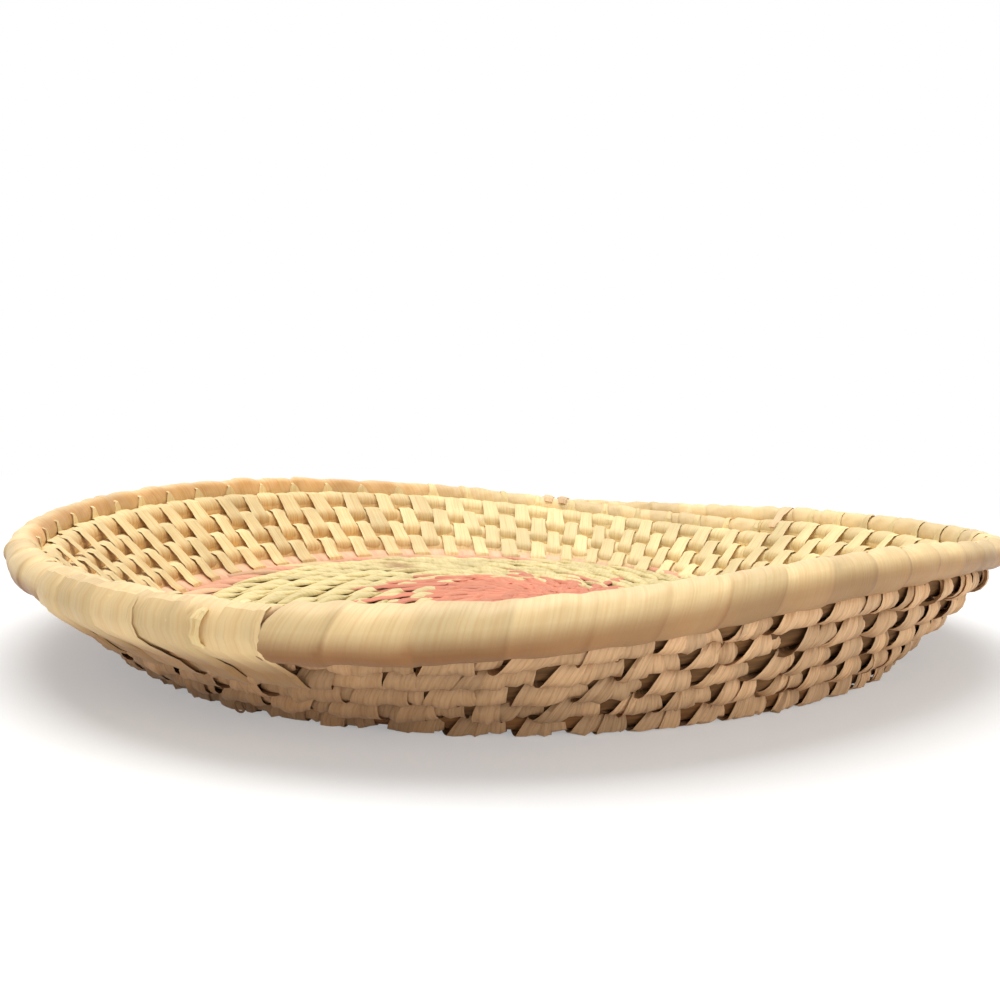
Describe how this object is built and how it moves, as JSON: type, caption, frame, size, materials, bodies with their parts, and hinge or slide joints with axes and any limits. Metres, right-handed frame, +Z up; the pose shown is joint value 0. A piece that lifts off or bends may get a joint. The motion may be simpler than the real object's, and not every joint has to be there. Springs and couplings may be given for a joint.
{
  "type": "basket tray",
  "caption": "Shallow round coiled basket tray with a flaring wall, a thick bound rim and a dyed star on its floor.",
  "frame": {"origin": "under the middle of the outer box, on the surface that the tray stands on", "axes": "+Z up out of the tray's mouth, -Y towards the front of the picture, +X to its right"},
  "size_m": [0.2812, 0.288, 0.0412],
  "materials": {
    "grass_coil": "bundled dry grass, matt",
    "natural_strip": "flat undyed leaf strip, satin",
    "dyed_strip": "flat leaf strip dyed salmon pink, satin",
    "faded_strip": "flat leaf strip with faded pink dye, satin"
  },
  "bodies": {
    "root": {"start_knot": "dyed_strip", "base_coil": "grass_coil", "wall_coil": "grass_coil", "rim_coil": "grass_coil", "wall_stitches_row_1": "natural_strip", "wall_stitches_row_2": "natural_strip", "wall_stitches_row_3": "natural_strip", "wall_stitches_row_4": "natural_strip", "rim_stitches": "natural_strip", "floor_ring_stitches": "faded_strip", "star_ray_01": "dyed_strip", "star_ray_02": "dyed_strip", "star_ray_03": "dyed_strip", "star_ray_04": "dyed_strip", "star_ray_05": "dyed_strip", "star_ray_06": "dyed_strip", "star_ray_07": "dyed_strip", "star_ray_08": "dyed_strip", "star_ray_09": "dyed_strip", "star_ray_10": "dyed_strip", "star_ray_11": "dyed_strip", "star_ray_12": "dyed_strip", "star_ray_13": "dyed_strip", "star_ray_14": "dyed_strip"}
  },
  "joints": []
}
